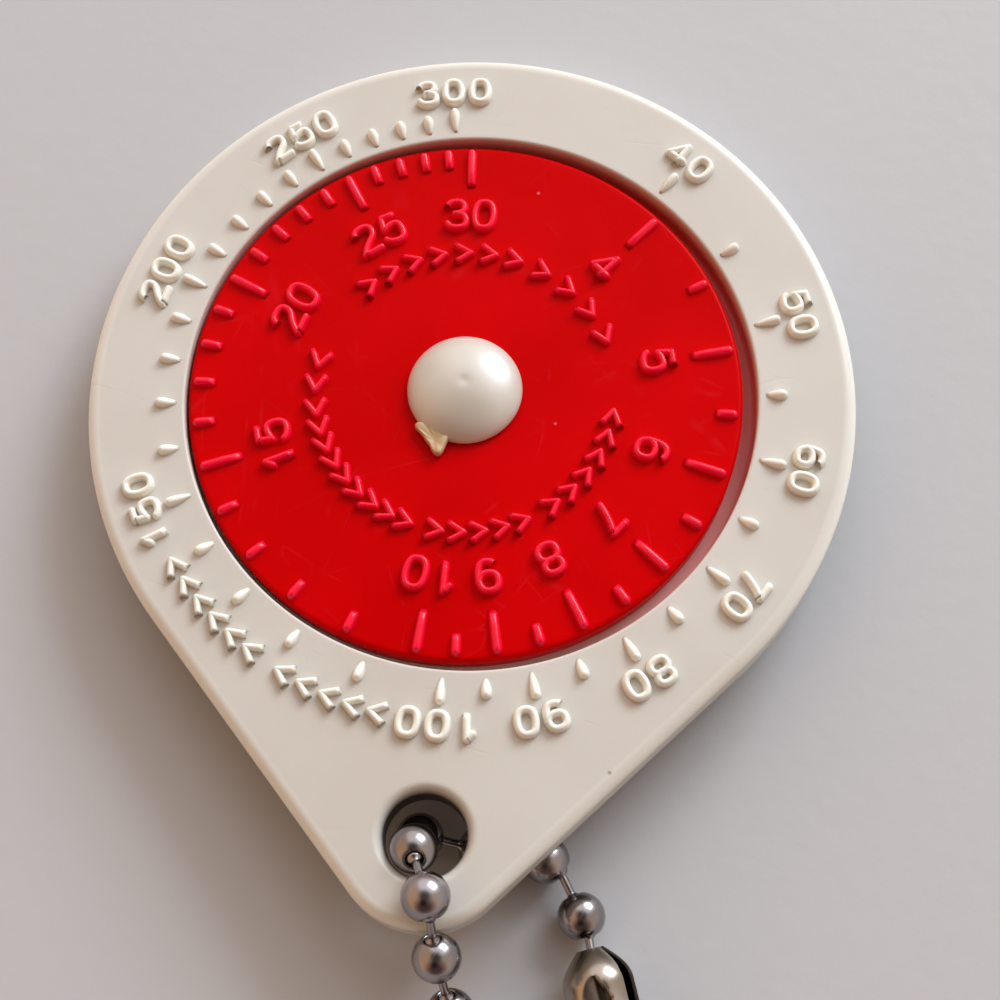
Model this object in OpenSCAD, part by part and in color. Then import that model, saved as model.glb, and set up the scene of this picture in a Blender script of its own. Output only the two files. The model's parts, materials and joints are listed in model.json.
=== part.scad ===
// Pocket mileage calculator on a bead chain: a teardrop body with a logarithmic scale, a round
// dial that turns in the body's well about a staked rivet, and a loop of bead chain through the
// hole in the tip. It lies on a table, its tip propped up by the beads that run beneath it.
// The origin is on the body's axis, on the floor of the label recess in its back.

/* [Body] */
// Radius of the round part of the body
body_r = 20; // [19.5:0.1:22]
// Thickness of the body from its back rim to its face
body_t = 2.75; // [2.6:0.05:3.5]
// Distance from the body's axis to the chain hole
hole_reach = 23; // [22.6:0.1:26]
// How far the chain hole stands to the left of straight down, in degrees
hole_turn = 8.5; // [4:0.5:11]
// Radius of the tip round the chain hole
tip_r = 4.5; // [4:0.1:4.8]
// Radius of the chain hole
hole_r = 2.05; // [1.8:0.05:2.4]
// Width of the flare at both ends of the chain hole
hole_flare = 0.45; // [0.2:0.05:0.5]
// Rounding of the face's outer edge
face_round = 0.6; // [0.2:0.1:0.8]
// Rounding of the back's outer edge
back_round = 0.35; // [0.2:0.05:0.6]
// Radius of the well that the dial turns in
well_r = 14.9; // [14:0.1:15.2]
// Depth of the well below the face
well_d = 1.6; // [1.5:0.05:1.8]
// Radius of the label recess in the back
label_r = 16.5; // [13:0.5:17.5]
// Depth of the label recess
label_d = 0.15; // [0.1:0.05:0.25]

/* [Dial] */
// Gap between the dial's rim and the well's wall, were they on one axis
rim_gap = 0.5; // [0.45:0.05:1]
// Gap between the dial's underside and the floor of the well
floor_gap = 0.1; // [0.05:0.05:0.2]
// Thickness of the dial
dial_t = 1.2; // [1.1:0.05:1.4]
// Rounding of the dial's upper rim
dial_round = 0.3; // [0.1:0.05:0.5]
// Sideways offset of the pivot from the body's axis
pivot_x = -0.3; // [-0.4:0.1:0.3]
// Offset of the pivot towards the top of the body
pivot_y = 0.1; // [-0.1:0.1:0.2]
// Angle that the dial stands at, clockwise from 30 at the top, in degrees
dial_turn = 4.6; // [-20:0.1:20]

/* [Rivet] */
// Radius of the rivet's shank
shank_r = 1.5; // [1.2:0.05:1.8]
// Radial clearance of the shank in the dial
turn_gap = 0.05; // [0.02:0.01:0.09]
// Radial clearance of the shank in the body
seat_gap = 0.02; // [0.01:0.01:0.05]
// Radius of the rivet's domed head
head_r = 3; // [2.6:0.1:3.6]
// Thickness of the head at its rim
head_rim = 0.35; // [0.2:0.05:0.6]
// Height of the head's dome above its rim
dome_h = 0.75; // [0.4:0.05:1.2]
// Gap between the head and the dial
head_gap = 0.05; // [0.02:0.01:0.1]
// Radius of the staked tail
tail_r = 2.1; // [1.9:0.05:2.4]
// Thickness of the staked tail
tail_t = 0.3; // [0.25:0.05:0.3]
// How far the tail sits inside the label recess
tail_sink = 0.35; // [0.35:0.05:0.4]

/* [Scales] */
// Height of the raised ticks and numbers
mark_h = 0.3; // [0.15:0.05:0.4]
// Width of a tick
tick_w = 0.28; // [0.2:0.02:0.4]
// Distance from the well's wall to the miles ticks
miles_inset = 0.25; // [0.2:0.05:0.4]
// Length of a numbered miles tick
miles_long = 1.5; // [1:0.1:1.6]
// Length of a plain miles tick
miles_short = 1.15; // [0.8:0.05:1.4]
// Distance from the miles ticks' inner ends to the middle of their numbers
miles_number_in = 2.65; // [2.5:0.05:2.8]
// Distance from the dial's rounded rim to the gallons ticks
gallons_inset = 0.05; // [0.05:0.05:0.2]
// Length of a numbered gallons tick
gallons_long = 2.45; // [1.6:0.05:2.6]
// Length of a plain gallons tick
gallons_short = 1.3; // [0.8:0.05:1.5]
// Distance from the gallons ticks' outer ends to the middle of their numbers
gallons_number_in = 3.85; // [3.7:0.05:4.2]
// Height of a miles number
miles_digit_h = 1.35; // [1:0.05:1.4]
// Height of a gallons number
gallons_digit_h = 1.6; // [1.2:0.05:1.7]
// Distance from digit to digit in a number
digit_pitch = 1.48; // [1.3:0.02:1.6]
// Width of the stroke that draws a number
stroke_w = 0.28; // [0.2:0.02:0.36]

/* [Answer window] */
// Distance from the pivot to the window in the well's floor
window_reach = 9; // [8:0.1:9.6]
// Width of the window across the radius
window_w = 3.4; // [2.6:0.1:4]
// Length of the window along the radius
window_l = 4.6; // [4.2:0.1:5]
// Depth of the ring in the dial's underside that carries the answer scale
ring_d = 0.3; // [0.25:0.05:0.4]
// Distance from the window's ends to the edges of that ring
ring_edge = 0.4; // [0.2:0.1:0.6]
// Height of the answer scale in that ring
answer_h = 0.2; // [0.1:0.05:0.25]
// Length of an answer tick
answer_tick = 1.2; // [0.8:0.1:1.4]
// Height of an answer number
answer_digit_h = 1.3; // [1:0.05:1.4]

/* [Chain] */
// Diameter of a bead
bead_d = 2.38; // [2.3:0.02:2.46]
// Wall of a bead
bead_wall = 0.15; // [0.12:0.01:0.16]
// Distance from bead to bead
pitch = 3.24; // [3.2:0.01:3.3]
// Distance from bead to bead where the chain bends through the hole
tight_pitch = 2.95; // [2.9:0.01:3]
// Radius of a bead's two holes, inside
bead_hole_r = 0.44; // [0.43:0.01:0.45]
// Radius of a bead's two holes at its surface
bead_mouth_r = 0.56; // [0.55:0.01:0.6]
// Radius of the wire of a pin
pin_r = 0.17; // [0.14:0.01:0.17]
// Radius of the ball on each end of a pin
ball_r = 0.46; // [0.46:0.005:0.48]
// Clearance between a pin's ball and the bead that holds it
ball_gap = 0.015; // [0.01:0.005:0.02]
// Gap between a bead and what it leans on
lean_gap = 0.04; // [0.03:0.01:0.1]
// Gap between the back of the body and the bead that props it up
prop_gap = 0.1; // [0.06:0.01:0.15]
// How far below the face the bead in the hole sits
hole_bead_sink = 0.3; // [0.2:0.05:0.4]
// Sideways step from the bead in the hole to the one below it
below_shift = 0.8; // [0.6:0.05:0.9]
// Turn of each link towards the left, where the two strands lie side by side, in degrees
strand_bend = -1.5; // [-2:0.1:0]

/* [Connector] */
// Outer radius of the connector
sleeve_r = 1.75; // [1.7:0.01:1.85]
// Wall of the connector
sleeve_wall = 0.3; // [0.25:0.01:0.34]
// Width of the slot along the connector
slot_w = 1.1; // [0.9:0.05:1.3]
// How far the slot is turned up from the right-hand side, in degrees
slot_turn = 24; // [0:2:40]
// How far each end of the connector is drawn in
draw_in = 0.7; // [0.5:0.05:0.7]
// Radius of the hole in each end of the connector
sleeve_hole_r = 0.7; // [0.65:0.01:0.8]
// Distance from the middle of an end bead to the connector's end
sleeve_reach = 1.6; // [1.58:0.01:1.7]

/* [Hidden] */
BEADS = 28;
ivory = [0.86, 0.83, 0.76];
red = [0.78, 0.02, 0.03];
white = [0.93, 0.92, 0.9];
nickel = [0.62, 0.6, 0.57];
eps = 0.01;

// Heights in the body's own frame, above the floor of the label recess
face_z = body_t - label_d;
floor_z = face_z - well_d;
dial_low = floor_z + floor_gap;
dial_top = dial_low + dial_t;
dial_r = well_r - rim_gap;
bore_r = shank_r + turn_gap;
tip = [-hole_reach * sin(hole_turn), -hole_reach * cos(hole_turn), 0];
stake_r = tail_r + seat_gap;
stake_z = tail_sink + tail_t;

// The beads that run beneath the tip hold it up, so the whole body leans
bead_r = bead_d / 2;
prop_y = hole_reach * cos(hole_turn) - 1.5 * bead_d / 2;
lean = asin((bead_d + prop_gap) / (body_r - back_round + prop_y));
table_z = -(body_r - back_round) * sin(lean) - (label_d - back_round) * cos(lean) - back_round;
rest_z = table_z + bead_r;
function leaned(p) = [p.x, p.y * cos(lean) + p.z * sin(lean), p.z * cos(lean) - p.y * sin(lean)];
function unleaned(p) = [p.x, p.y * cos(lean) - p.z * sin(lean), p.z * cos(lean) + p.y * sin(lean)];

// Beads are numbered from the connector's upper bead, through the hole, and round to its lower one
function unit(v) = v / norm(v);
function flat(v) = [v.x, v.y];
function heading(a) = [cos(a), sin(a), 0];
// The next bead at a given distance, heading and height
function step_to(p, a, z, length) =
    [p.x, p.y, z] + heading(a) * sqrt(length * length - (z - p.z) * (z - p.z));

// Headings of the links as the chain lies, in degrees anticlockwise from the right
in_hole_turn = 227;
over_rim_turn = -77.5;
over_tip_turn = -83.5;
below_hole_turn = 77;
under_tip_turns = [-13, -13, -61];
strand_turn = -80;

// Bead 6 stands in the hole and leans on its lower left wall
hole_bead_lean = hole_r - bead_r - lean_gap;
p6_body = tip + heading(in_hole_turn) * hole_bead_lean + [0, 0, face_z - hole_bead_sink];
p6 = leaned(p6_body);
// Bead 7 lies on the face, bead 8 touches the tip's edge, and the next two go down to the table
face_bead_z = face_z + bead_r + lean_gap;
p7_body = step_to(p6_body, over_rim_turn, face_bead_z, tight_pitch);
p7 = leaned(p7_body);
edge_step = tip_r + bead_r + lean_gap - norm(flat(p7_body - tip));
p8_body = step_to(p7_body, over_tip_turn, face_bead_z - sqrt(pitch * pitch - edge_step * edge_step), pitch);
p8 = leaned(p8_body);
p9 = step_to(p8, strand_turn, (p8.z + rest_z) / 2, pitch);
p10 = step_to(p9, strand_turn, rest_z, pitch);
p11 = step_to(p10, strand_turn, rest_z, pitch);
// Beads 5 to 2 go down through the hole and out beneath the tip
p5 = step_to(p6, below_hole_turn, p6.z - sqrt(tight_pitch * tight_pitch - below_shift * below_shift),
    tight_pitch);
p4 = step_to(p5, under_tip_turns[0], rest_z, pitch);
p3 = step_to(p4, under_tip_turns[1], rest_z, pitch);
p2 = step_to(p3, under_tip_turns[2], rest_z, pitch);

// From beads 8 and 2 on, the two strands run side by side. The connector and the link that leads
// into it are as long as three links of the other strand, so the strands stay parallel as they bend.
sleeve_bead_z = table_z + sleeve_wall + bead_r + lean_gap;
p1 = step_to(p2, strand_turn, sleeve_bead_z, pitch);
sleeve_gap = norm(flat(p11 - p8)) - norm(flat(p1 - p2));
p28 = p1 + heading(strand_turn) * sleeve_gap;
LINKS = 7;
function strand(start, n) = n == 0 ? start
    : step_to(strand(start, n - 1), strand_turn + n * strand_bend, rest_z, pitch);
// The far end is a bow of three links between beads 18 and 21
p18 = strand(p11, LINKS);
p21 = strand(p28, LINKS);
bow_span = p21 - p18;
bow_heading = atan2(bow_span.y, bow_span.x);
bow_turn = acos((norm(flat(bow_span)) - pitch) / (2 * pitch));
p19 = step_to(p18, bow_heading - bow_turn, rest_z, pitch);
p20 = step_to(p21, bow_heading + 180 + bow_turn, rest_z, pitch);
function bead_at(i) =
    i < 11 ? [p1, p2, p3, p4, p5, p6, p7, p8, p9, p10][i - 1]
    : i < 19 ? strand(p11, i - 11)
    : i == 19 ? p19
    : i == 20 ? p20
    : strand(p28, 28 - i);
// A bead's holes point half-way between its two links
function bead_axis(i) =
    i == 1 || i == BEADS ? unit(p28 - p1)
    : unit(unit(bead_at(i + 1) - bead_at(i)) + unit(bead_at(i) - bead_at(i - 1)));
// The ball of a pin sits just inside the hole
cavity_r = bead_r - bead_wall;
ball_seat = sqrt(cavity_r * cavity_r - bead_hole_r * bead_hole_r)
    - sqrt((ball_r + ball_gap) * (ball_r + ball_gap) - bead_hole_r * bead_hole_r);
// The end beads stand the other way round along the connector, as the chain runs towards bead 1
function axis_towards(i, j) =
    let (a = bead_axis(i), b = bead_at(j) - bead_at(i)) a * b < 0 ? -a : a;
function pin_end(i, j) = bead_at(i) + axis_towards(i, j) * ball_seat;

module body_frame() { rotate([-lean, 0, 0]) children(); }
// Turns +Z to a direction and moves to a point
module along(p, d) {
    translate(p) rotate([0, acos(d.z / norm(d)), atan2(d.y, d.x)]) children();
}
module at_tip() { translate(tip) children(); }
module at_pivot() { translate([pivot_x, pivot_y, 0]) children(); }
// A place on a ring, at an angle clockwise from the top
module on_ring(r, turn) { rotate(-turn) translate([0, r]) children(); }

// Half of the body's section, from the axis to a rounded rim
function rim_arc(c, r, from, to, n) =
    [for (i = [0:n]) c + r * [cos(from + (to - from) * i / n), sin(from + (to - from) * i / n)]];
module pebble(r) {
    rotate_extrude($fn = 96)
        polygon(concat([[0, -label_d]],
            rim_arc([r - back_round, back_round - label_d], back_round, -90, 0, 3),
            rim_arc([r - face_round, face_z - face_round], face_round, 0, 90, 5),
            [[0, face_z]]));
}

// Numbers are drawn in straight strokes on a cell 2 wide and 3 high
GLYPHS = [
    [[0.6, 0], [1.4, 0], [2, 0.7], [2, 2.3], [1.4, 3], [0.6, 3], [0, 2.3], [0, 0.7], [0.6, 0]],
    [[0.5, 2.5], [1.1, 3], [1.1, 0]],
    [[0, 2.4], [0.6, 3], [1.4, 3], [2, 2.4], [2, 1.8], [0, 0], [2, 0]],
    [[0, 2.5], [0.6, 3], [1.4, 3], [2, 2.4], [1.4, 1.6], [2, 0.9], [2, 0.6], [1.4, 0], [0.6, 0], [0, 0.5]],
    [[1.4, 0], [1.4, 3], [0, 1], [2, 1]],
    [[1.9, 3], [0.3, 3], [0.1, 1.7], [1.3, 1.8], [2, 1.2], [2, 0.6], [1.4, 0], [0.6, 0], [0, 0.4]],
    [[1.5, 3], [0.2, 1.6], [0, 0.7], [0.6, 0], [1.4, 0], [2, 0.6], [2, 1.1], [1.4, 1.7], [0.3, 1.5]],
    [[0, 3], [2, 3], [0.7, 0]],
    [[1, 1.6], [0.1, 2.2], [0.6, 3], [1.4, 3], [1.9, 2.2], [1, 1.6], [2, 0.8], [1.4, 0], [0.6, 0],
        [0, 0.8], [1, 1.6]],
    [[0.5, 0], [1.8, 1.4], [2, 2.3], [1.4, 3], [0.6, 3], [0, 2.4], [0, 1.9], [0.6, 1.3], [1.7, 1.5]],
];
function digits(v) = v < 10 ? [v] : concat(digits(floor(v / 10)), [v % 10]);
module digit(d, h) {
    cell = h / 3;
    points = GLYPHS[d];
    translate([-cell, -h / 2])
        for (i = [0:len(points) - 2]) {
            a = points[i] * cell;
            b = points[i + 1] * cell;
            translate(a) rotate(atan2(b.y - a.y, b.x - a.x)) {
                translate([0, -stroke_w / 2]) square([norm(b - a), stroke_w]);
                rotate(22.5) circle(stroke_w / 2, $fn = 8);
                translate([norm(b - a), 0]) rotate(22.5) circle(stroke_w / 2, $fn = 8);
            }
        }
}
// A number stands upright on its ring, its digits side by side
module number(v, h, r, turn) {
    list = digits(v);
    advance = asin(digit_pitch / r);
    for (i = [0:len(list) - 1])
        on_ring(r, turn + (i - (len(list) - 1) / 2) * advance) digit(list[i], h);
}

// One turn of the scale is one decade, and values grow clockwise from 4 to 30 units
UNITS = concat([for (u = [4:0.5:10]) u], [for (u = [11:30]) u]);
function is_numbered(u) = u > 10 ? u % 5 == 0 : u % 1 == 0;
function scale_turn(u) = 360 * log(u / 30);
// Ticks grow outwards from a ring for a positive length and inwards for a negative one
module log_ticks(r, long, short) {
    for (u = UNITS) {
        length = is_numbered(u) ? long : short;
        on_ring(r + length / 2, scale_turn(u)) square([tick_w, abs(length)], center = true);
    }
}
module log_numbers(r, h, worth) {
    for (u = UNITS) if (is_numbered(u)) number(u * worth, h, r, scale_turn(u));
}
module raised(z) {
    translate([0, 0, z - eps]) linear_extrude(mark_h + eps) children();
}

miles_r = well_r + miles_inset;
gallons_r = dial_r - dial_round - gallons_inset;
window_low = window_reach - window_l / 2;
window_high = window_reach + window_l / 2;
answer_number_r = (window_low + window_high - answer_tick) / 2;
ANSWERS = concat([for (m = [10:30]) m], [for (m = [32:2:50]) m], [for (m = [55:5:95]) m]);
NUMBERED_ANSWERS = [10, 15, 20, 25, 30, 40, 50, 60, 80];
function answer_turn(m) = 360 * log(m / 10);

module body() {
    color(ivory) body_frame() difference() {
        union() {
            hull() {
                pebble(body_r);
                at_tip() pebble(tip_r);
            }
            raised(face_z) {
                log_ticks(miles_r, miles_long, miles_short);
                log_numbers(miles_r + miles_number_in, miles_digit_h, 10);
            }
        }
        translate([0, 0, floor_z]) cylinder(r = well_r, h = well_d + mark_h + 1, $fn = 128);
        translate([0, 0, -label_d - 1]) cylinder(r = label_r, h = label_d + 1, $fn = 128);
        at_tip() {
            translate([0, 0, -1]) cylinder(r = hole_r, h = body_t + 2, $fn = 64);
            translate([0, 0, face_z - hole_flare])
                cylinder(r1 = hole_r, r2 = hole_r + hole_flare, h = hole_flare, $fn = 64);
            translate([0, 0, -label_d])
                cylinder(r1 = hole_r + hole_flare, r2 = hole_r, h = hole_flare, $fn = 64);
        }
        at_pivot() {
            translate([0, 0, -1]) cylinder(r = shank_r + seat_gap, h = body_t, $fn = 64);
            translate([0, 0, -1]) cylinder(r = stake_r, h = stake_z + 1, $fn = 64);
            translate([-window_w / 2, -window_high, -1]) cube([window_w, window_l, body_t]);
        }
    }
}

// The dial in its own place, before it is turned
module dial() {
    color(red) body_frame() at_pivot() rotate(-dial_turn) {
        difference() {
            translate([0, 0, dial_low]) rotate_extrude($fn = 128)
                polygon(concat([[bore_r, 0], [dial_r, 0]],
                    rim_arc([dial_r - dial_round, dial_t - dial_round], dial_round, 0, 90, 4),
                    [[bore_r, dial_t]]));
            translate([0, 0, dial_low - 1]) difference() {
                cylinder(r = window_high + ring_edge, h = 1 + ring_d, $fn = 96);
                translate([0, 0, -1]) cylinder(r = window_low - ring_edge, h = ring_d + 3, $fn = 96);
            }
        }
        raised(dial_top) {
            log_ticks(gallons_r, -gallons_long, -gallons_short);
            log_numbers(gallons_r - gallons_number_in, gallons_digit_h, 1);
        }
        // The answer scale faces down, and 10 is in the window when 30 gallons stand at 300 miles
        translate([0, 0, dial_low + ring_d + eps]) rotate([180, 0, 0]) linear_extrude(answer_h + eps) {
            for (m = ANSWERS)
                on_ring(window_high - answer_tick / 2, answer_turn(m))
                    square([tick_w, answer_tick], center = true);
            for (m = NUMBERED_ANSWERS) number(m, answer_digit_h, answer_number_r, answer_turn(m));
        }
    }
}

module rivet() {
    dome_r = (head_r * head_r + dome_h * dome_h) / (2 * dome_h);
    head_low = dial_top + head_gap;
    color(white) body_frame() at_pivot() {
        translate([0, 0, tail_sink]) cylinder(r = tail_r, h = tail_t, $fn = 64);
        translate([0, 0, tail_sink]) cylinder(r = shank_r, h = head_low + eps - tail_sink, $fn = 64);
        translate([0, 0, head_low]) cylinder(r = head_r, h = head_rim, $fn = 64);
        intersection() {
            translate([0, 0, head_low + head_rim + dome_h - dome_r]) sphere(dome_r, $fn = 96);
            translate([0, 0, head_low + head_rim - eps]) cylinder(r = head_r, h = dome_h + 1, $fn = 64);
        }
    }
}

// Each hole is a cone that opens outwards through the wall
module bead(i) {
    inner_edge = sqrt(cavity_r * cavity_r - bead_hole_r * bead_hole_r);
    outer_edge = sqrt(bead_r * bead_r - bead_mouth_r * bead_mouth_r);
    widening = (bead_mouth_r - bead_hole_r) / (outer_edge - inner_edge);
    color(nickel) along(bead_at(i), bead_axis(i)) difference() {
        sphere(bead_r, $fn = 48);
        sphere(cavity_r, $fn = 48);
        for (side = [0, 180]) rotate([side, 0, 0]) translate([0, 0, inner_edge - bead_wall])
            cylinder(r1 = bead_hole_r - bead_wall * widening,
                r2 = bead_mouth_r + (bead_r - outer_edge) * widening,
                h = bead_r - inner_edge + bead_wall, $fn = 32);
    }
}

module pin(i) {
    a = pin_end(i, i + 1);
    b = pin_end(i + 1, i);
    color(nickel) along(a, b - a) {
        sphere(ball_r, $fn = 24);
        cylinder(r = pin_r, h = norm(b - a), $fn = 24);
        translate([0, 0, norm(b - a)]) sphere(ball_r, $fn = 24);
    }
}

// A rolled sleeve with a slot along its side, drawn in to a small hole at each end
module connector() {
    length = sleeve_gap + 2 * sleeve_reach;
    inner_r = sleeve_r - sleeve_wall;
    start = p1 - unit(p28 - p1) * sleeve_reach;
    color(nickel) along([start.x, start.y, table_z + sleeve_r], p28 - p1) difference() {
        rotate_extrude($fn = 64)
            polygon([[0, 0], [sleeve_r - draw_in, 0], [sleeve_r, draw_in],
                [sleeve_r, length - draw_in], [sleeve_r - draw_in, length], [0, length]]);
        rotate_extrude($fn = 64)
            polygon([[0, sleeve_wall], [inner_r - draw_in, sleeve_wall], [inner_r, draw_in + sleeve_wall],
                [inner_r, length - draw_in - sleeve_wall], [inner_r - draw_in, length - sleeve_wall],
                [0, length - sleeve_wall]]);
        translate([0, 0, -1]) cylinder(r = sleeve_hole_r, h = length + 2, $fn = 32);
        rotate(slot_turn) translate([-slot_w / 2, 0, -1]) cube([slot_w, 2 * sleeve_r, length + 2]);
    }
}

body();
dial();
rivet();
connector();
for (i = [1:BEADS]) bead(i);
for (i = [1:BEADS - 1]) pin(i);
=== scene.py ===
import json
import math

import bmesh
import bpy
import numpy as np
from mathutils import Matrix, Vector
from mathutils.geometry import tessellate_polygon


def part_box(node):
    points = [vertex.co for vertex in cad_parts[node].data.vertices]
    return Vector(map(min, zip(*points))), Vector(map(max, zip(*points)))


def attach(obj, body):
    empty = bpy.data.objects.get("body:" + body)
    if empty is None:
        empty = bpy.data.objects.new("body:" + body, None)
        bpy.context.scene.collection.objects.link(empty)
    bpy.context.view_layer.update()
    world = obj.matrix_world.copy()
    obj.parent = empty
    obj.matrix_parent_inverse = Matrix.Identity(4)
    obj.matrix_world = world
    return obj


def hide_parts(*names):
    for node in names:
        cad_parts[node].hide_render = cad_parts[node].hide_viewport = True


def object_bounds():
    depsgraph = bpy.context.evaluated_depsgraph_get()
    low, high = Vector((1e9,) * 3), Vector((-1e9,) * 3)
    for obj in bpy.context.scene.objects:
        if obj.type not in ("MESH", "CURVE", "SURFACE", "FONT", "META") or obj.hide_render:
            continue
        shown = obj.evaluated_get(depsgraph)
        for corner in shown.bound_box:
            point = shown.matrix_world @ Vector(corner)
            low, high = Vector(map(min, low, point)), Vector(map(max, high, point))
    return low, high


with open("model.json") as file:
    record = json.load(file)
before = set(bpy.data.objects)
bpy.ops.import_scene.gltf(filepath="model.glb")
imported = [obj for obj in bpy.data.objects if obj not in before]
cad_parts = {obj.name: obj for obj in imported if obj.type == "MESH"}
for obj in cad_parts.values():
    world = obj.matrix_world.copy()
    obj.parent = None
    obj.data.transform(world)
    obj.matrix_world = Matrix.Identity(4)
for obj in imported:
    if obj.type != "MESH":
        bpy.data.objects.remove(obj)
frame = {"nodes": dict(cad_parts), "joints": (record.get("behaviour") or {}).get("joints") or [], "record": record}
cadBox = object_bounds()
print("frame loaded:", len(frame["nodes"]), "nodes")

# The keychain leans back on the beads under its tip. Shapes are drawn level, in millimetres,
# and bodyPlace puts them in the frame. What turns on the pivot is drawn about it.
labelPanel = next(m for m in frame["record"]["mounts"] if m["name"] == "rear_label_panel")
lean = math.atan2(-labelPanel["axis"][1], -labelPanel["axis"][2])
bodyPlace = Matrix.Rotation(-lean, 4, "X") @ Matrix.Scale(0.001, 4)
pivotJoint = next(j for j in frame["joints"] if j["name"] == "dial_spin")
pivot = bodyPlace.inverted() @ Vector(pivotJoint["pos_m"])
pivotPlace = bodyPlace @ Matrix.Translation((pivot.x, pivot.y, 0))

heights = {
    "face": 2.6,
    "wellFloor": 1.0,
    "backRim": -0.15,
    "stakeShelf": 0.65,
    "dialLow": 1.1,
    "dialTop": 2.3,
}


# Node helpers
def addNode(tree, kind, inputs=None, **settings):
    node = tree.nodes.new(kind)
    for key, value in settings.items():
        setattr(node, key, value)
    for key, value in (inputs or {}).items():
        if isinstance(value, bpy.types.NodeSocket):
            tree.links.new(value, node.inputs[key])
        else:
            node.inputs[key].default_value = value
    return node


def calc(tree, operation, a, b=0.0, c=0.0):
    return addNode(tree, "ShaderNodeMath", {0: a, 1: b, 2: c}, operation=operation).outputs[0]


def noise(tree, place, scale, detail):
    given = {"Vector": place, "Scale": scale, "Detail": detail}
    return addNode(tree, "ShaderNodeTexNoise", given).outputs


# How far a value is on its way from start to end, as a share
def reach(tree, value, start, end, way="LINEAR"):
    given = {0: value, 1: start, 2: end, 3: 0.0, 4: 1.0}
    return addNode(tree, "ShaderNodeMapRange", given, interpolation_type=way).outputs[0]


# A new tree and its own input and output sockets. A number is a float or whole socket's default,
# and a word is the kind of a socket without one.
def newTree(name, kind, inputs, outputs):
    tree = bpy.data.node_groups.new(name, kind)
    for label, given in inputs.items():
        plain = isinstance(given, str)
        ending = given if plain else type(given).__name__.capitalize()
        socket = tree.interface.new_socket(label, in_out="INPUT", socket_type="NodeSocket" + ending)
        if not plain:
            socket.default_value = given
    for label, ending in outputs.items():
        tree.interface.new_socket(label, in_out="OUTPUT", socket_type="NodeSocket" + ending)
    return tree, addNode(tree, "NodeGroupInput").outputs, addNode(tree, "NodeGroupOutput").inputs


def newGrowTree(name, inputs):
    sockets = {"Geometry": "Geometry", **inputs, "Shape": "Object", "Material": "Material"}
    return newTree(name, "GeometryNodeTree", sockets, {"Geometry": "Geometry"})


# Ends a growing tree with copies of its shape, made real and given their material
def endTree(tree, given, out, placing):
    shape = addNode(tree, "GeometryNodeObjectInfo", {0: given["Shape"]}).outputs["Geometry"]
    copies = addNode(tree, "GeometryNodeInstanceOnPoints", {"Instance": shape, **placing}).outputs[0]
    real = addNode(tree, "GeometryNodeRealizeInstances", {0: copies}).outputs[0]
    painted = addNode(tree, "GeometryNodeSetMaterial", {"Geometry": real, "Material": given["Material"]})
    tree.links.new(painted.outputs[0], out["Geometry"])
    return tree


# Mesh helpers
def clamped(value):
    return max(0.0, min(1.0, value))


def emptyShape():
    return {"points": [], "faces": []}


def circle(radius, z, count, centre=(0, 0)):
    turns = np.linspace(0, 2 * math.pi, count, endpoint=False)
    return [(centre[0] + radius * math.cos(t), centre[1] + radius * math.sin(t), z) for t in turns]


# Part of a circle, or of an oval where its half height is given too
def arc(centre, wide, start, end, steps, high=None):
    turns = np.radians(np.linspace(start, end, steps + 1))
    return [(centre[0] + wide * math.cos(t), centre[1] + (high or wide) * math.sin(t)) for t in turns]


def addRing(shape, points):
    first = len(shape["points"])
    shape["points"] += [tuple(p) for p in points]
    return list(range(first, first + len(points)))


def bridge(shape, a, b, closed=True):
    count = len(a)
    for i in range(count if closed else count - 1):
        j = (i + 1) % count
        shape["faces"].append((a[i], a[j], b[j], b[i]))


def bridgeAll(shape, rings, closed=True):
    for a, b in zip(rings, rings[1:]):
        bridge(shape, a, b, closed)


def addLathe(shape, profile, count=96, centre=(0, 0)):
    rings = [addRing(shape, circle(r, z, count, centre)) for r, z in profile]
    bridgeAll(shape, rings)
    return rings[0], rings[-1]


def fillFlat(shape, loops):
    index = [i for loop in loops for i in loop]
    corners = [[Vector(shape["points"][i]) for i in loop] for loop in loops]
    for triangle in tessellate_polygon(corners):
        shape["faces"].append(tuple(index[i] for i in triangle))


def meshOf(name, shape, place=None, fixNormals=True, sharp=None):
    mesh = bpy.data.meshes.new(name)
    mesh.from_pydata([tuple(p) for p in shape["points"]], [], shape["faces"])
    if fixNormals:
        work = bmesh.new()
        work.from_mesh(mesh)
        bmesh.ops.remove_doubles(work, verts=work.verts, dist=0.0004)
        bmesh.ops.recalc_face_normals(work, faces=work.faces)
        work.to_mesh(mesh)
        work.free()
    mesh.polygons.foreach_set("use_smooth", [True] * len(mesh.polygons))
    if sharp:
        mesh.set_sharp_from_angle(angle=math.radians(sharp))
    if place:
        mesh.transform(place)
    return mesh


def addMask(mesh, name, values):
    attribute = mesh.attributes.new(name, "FLOAT", "POINT")
    attribute.data.foreach_set("value", values)


def addPiece(name, mesh, body, slot, material, replaces=()):
    piece = bpy.data.objects.new(name, mesh)
    bpy.context.scene.collection.objects.link(piece)
    mesh.materials.clear()
    mesh.materials.append(material)
    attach(piece, body)
    if replaces:
        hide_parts(*replaces)
    return piece


# The result of a Geometry Nodes tree as a plain mesh
def grow(tree, values, base=None):
    holder = bpy.data.objects.new("holder", base or bpy.data.meshes.new("holder"))
    bpy.context.scene.collection.objects.link(holder)
    modifier = holder.modifiers.new("grow", "NODES")
    modifier.node_group = tree
    for item in tree.interface.items_tree:
        if item.in_out == "INPUT" and item.name in values:
            modifier[item.identifier] = values[item.name]
    bpy.context.view_layer.update()
    graph = bpy.context.evaluated_depsgraph_get()
    mesh = bpy.data.meshes.new_from_object(holder.evaluated_get(graph), depsgraph=graph)
    bpy.data.objects.remove(holder)
    return mesh


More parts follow.
